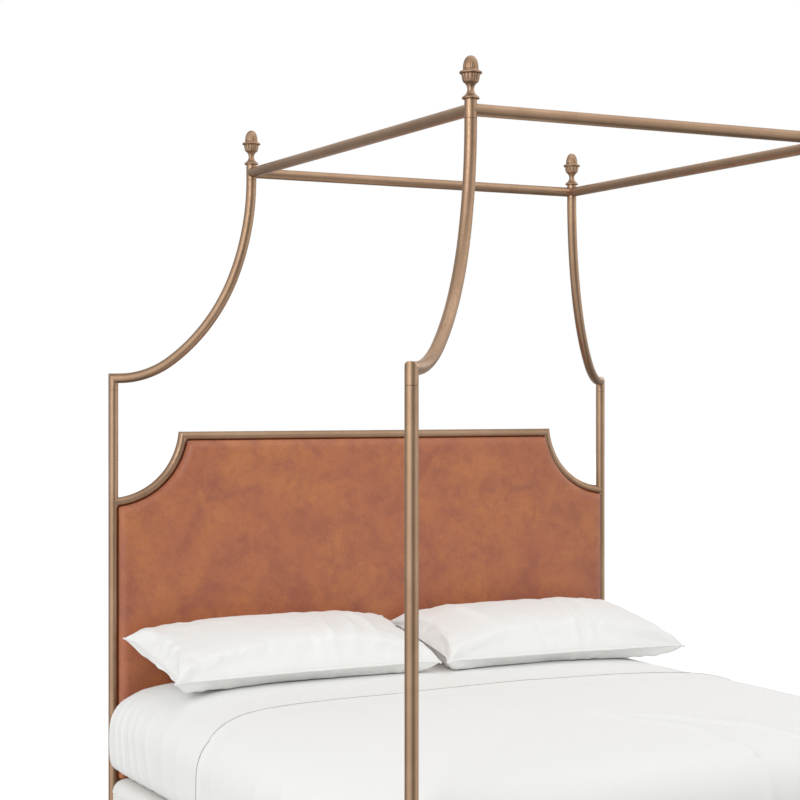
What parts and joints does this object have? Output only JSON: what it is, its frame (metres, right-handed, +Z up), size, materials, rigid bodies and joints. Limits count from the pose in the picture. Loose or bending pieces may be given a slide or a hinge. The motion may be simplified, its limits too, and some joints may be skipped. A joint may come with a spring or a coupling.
{
  "type": "four poster canopy bed",
  "caption": "Poster bed frame in round metal tube with inward arching canopy arms, urn finials and a scooped leather headboard, made up with mattress, sheets and pillows.",
  "frame": {"origin": "on the floor, at the middle of the rectangle between the posts", "axes": "+X to the right as seen from the foot end, +Y towards the headboard, +Z up"},
  "size_m": [1.9752, 2.148, 2.4073],
  "materials": {
    "bronze_tube": "satin antique bronze plating over steel tube, finely brushed, a little darker in its hollows",
    "bronze_casting": "satin antique bronze on cast brass, darker in the flutes and grooves",
    "blackened_steel": "dark matt paint",
    "black_plastic": "dark matt moulded plastic",
    "zinc_fastener": "bright zinc plate",
    "birch_wood": "clear satin lacquer on pale birch",
    "cognac_leather": "mottled cognac leather with darker patches and a soft grain",
    "backing_cloth": "dark woven backing cloth",
    "box_spring_cloth": "off-white woven cover",
    "ticking": "off-white quilted ticking",
    "fitted_linen": "white percale, softly creased",
    "flat_linen": "white percale with a stitched hem, softly creased",
    "pillow_linen": "white percale with a corded seam",
    "pillow_ticking": "white down-proof cotton"
  },
  "bodies": {
    "bed_frame": {"post_head_left": "bronze_tube", "post_head_right": "bronze_tube", "post_foot_left": "bronze_tube", "post_foot_right": "bronze_tube", "post_sleeves": "blackened_steel", "canopy_arm_head_left": "bronze_tube", "canopy_arm_head_right": "bronze_tube", "canopy_arm_foot_left": "bronze_tube", "canopy_arm_foot_right": "bronze_tube", "arm_spigots": "blackened_steel", "coupler_head_left": "bronze_tube", "coupler_head_right": "bronze_tube", "coupler_foot_left": "bronze_tube", "coupler_foot_right": "bronze_tube", "canopy_rail_left": "bronze_tube", "canopy_rail_right": "bronze_tube", "canopy_rail_head": "bronze_tube", "canopy_rail_foot": "bronze_tube", "canopy_rail_inserts": "blackened_steel", "glide_sockets": "black_plastic", "headboard_top_rail": "bronze_tube", "headboard_scoop_left": "bronze_tube", "headboard_scoop_right": "bronze_tube", "headboard_bottom_rail": "bronze_tube", "headboard_panel": "birch_wood", "headboard_pad": "cognac_leather", "headboard_back": "backing_cloth", "headboard_tabs": "bronze_tube", "headboard_screws": "zinc_fastener", "side_rail_left": "bronze_tube", "side_rail_right": "bronze_tube", "head_rail": "bronze_tube", "foot_rail": "bronze_tube", "rail_brackets": "bronze_tube", "frame_bolts": "zinc_fastener", "rail_nuts": "zinc_fastener", "centre_beam": "blackened_steel", "centre_legs": "blackened_steel", "centre_feet": "black_plastic", "slats": "birch_wood"},
    "box_spring": {"box_spring": "box_spring_cloth"},
    "mattress": {"mattress": "ticking", "fitted_sheet": "fitted_linen", "flat_sheet": "flat_linen"},
    "pillow_left": {"pillow_left": "pillow_ticking", "pillow_case_left": "pillow_linen"},
    "pillow_right": {"pillow_right": "pillow_ticking", "pillow_case_right": "pillow_linen"},
    "finial_head_left": {"finial_head_left": "bronze_casting", "finial_rod_head_left": "zinc_fastener"},
    "glide_head_left": {"glide_head_left": "black_plastic"},
    "finial_head_right": {"finial_head_right": "bronze_casting", "finial_rod_head_right": "zinc_fastener"},
    "glide_head_right": {"glide_head_right": "black_plastic"},
    "finial_foot_left": {"finial_foot_left": "bronze_casting", "finial_rod_foot_left": "zinc_fastener"},
    "glide_foot_left": {"glide_foot_left": "black_plastic"},
    "finial_foot_right": {"finial_foot_right": "bronze_casting", "finial_rod_foot_right": "zinc_fastener"},
    "glide_foot_right": {"glide_foot_right": "black_plastic"}
  },
  "joints": [
    {"name": "box_spring_lift", "type": "slide", "parent": "bed_frame", "child": "box_spring", "axis": [0, 0, 1], "range_m": [0, 0.1]},
    {"name": "mattress_lift", "type": "slide", "parent": "box_spring", "child": "mattress", "axis": [0, 0, 1], "range_m": [0, 0.25]},
    {"name": "pillow_left_lift", "type": "slide", "parent": "mattress", "child": "pillow_left", "axis": [0, 0, 1], "range_m": [0, 0.35]},
    {"name": "pillow_right_lift", "type": "slide", "parent": "mattress", "child": "pillow_right", "axis": [0, 0, 1], "range_m": [0, 0.35]},
    {"name": "finial_head_left_turn", "type": "hinge", "parent": "bed_frame", "child": "finial_head_left", "pos_m": [-0.601, 0.714, 2.3], "axis": [0, 0, 1], "continuous": true},
    {"name": "finial_head_right_turn", "type": "hinge", "parent": "bed_frame", "child": "finial_head_right", "pos_m": [0.601, 0.714, 2.3], "axis": [0, 0, 1], "continuous": true},
    {"name": "finial_foot_left_turn", "type": "hinge", "parent": "bed_frame", "child": "finial_foot_left", "pos_m": [-0.601, -0.714, 2.3], "axis": [0, 0, 1], "continuous": true},
    {"name": "finial_foot_right_turn", "type": "hinge", "parent": "bed_frame", "child": "finial_foot_right", "pos_m": [0.601, -0.714, 2.3], "axis": [0, 0, 1], "continuous": true},
    {"name": "glide_head_left_height", "type": "slide", "parent": "bed_frame", "child": "glide_head_left", "axis": [0, 0, -1], "range_m": [0, 0.012]},
    {"name": "glide_head_right_height", "type": "slide", "parent": "bed_frame", "child": "glide_head_right", "axis": [0, 0, -1], "range_m": [0, 0.012]},
    {"name": "glide_foot_left_height", "type": "slide", "parent": "bed_frame", "child": "glide_foot_left", "axis": [0, 0, -1], "range_m": [0, 0.012]},
    {"name": "glide_foot_right_height", "type": "slide", "parent": "bed_frame", "child": "glide_foot_right", "axis": [0, 0, -1], "range_m": [0, 0.012]}
  ]
}
